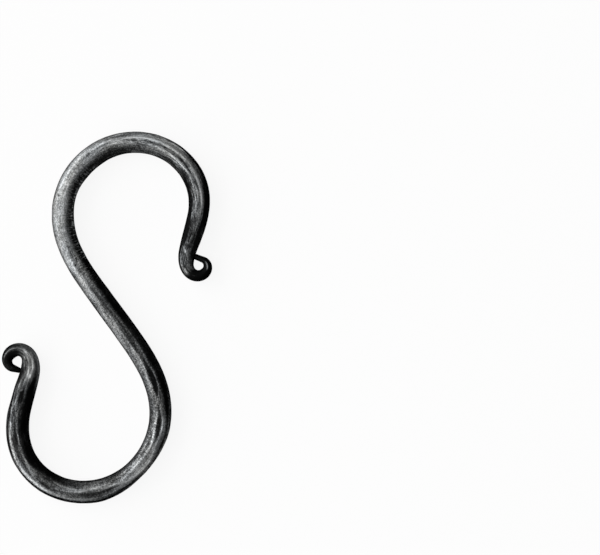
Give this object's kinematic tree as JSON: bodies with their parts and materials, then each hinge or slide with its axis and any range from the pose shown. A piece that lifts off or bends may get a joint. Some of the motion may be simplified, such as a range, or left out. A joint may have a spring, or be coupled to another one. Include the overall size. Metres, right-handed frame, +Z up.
{
  "type": "s hook",
  "caption": "Hand-forged S hook of round bar: opposed open bowls, with drawn ends that curl back into small eyes, for hanging things from a rail, rod or chain.",
  "frame": {"origin": "centre of the hook's outline, on the surface that it lies flat on", "axes": "+Y along the S to the upper bowl, +X to the right seen from above, +Z up, across the thickness of the bar"},
  "size_m": [0.0576, 0.1016, 0.006],
  "materials": {
    "blackened_steel": "satin"
  },
  "bodies": {
    "root": {"s_hook": "blackened_steel"}
  },
  "joints": []
}
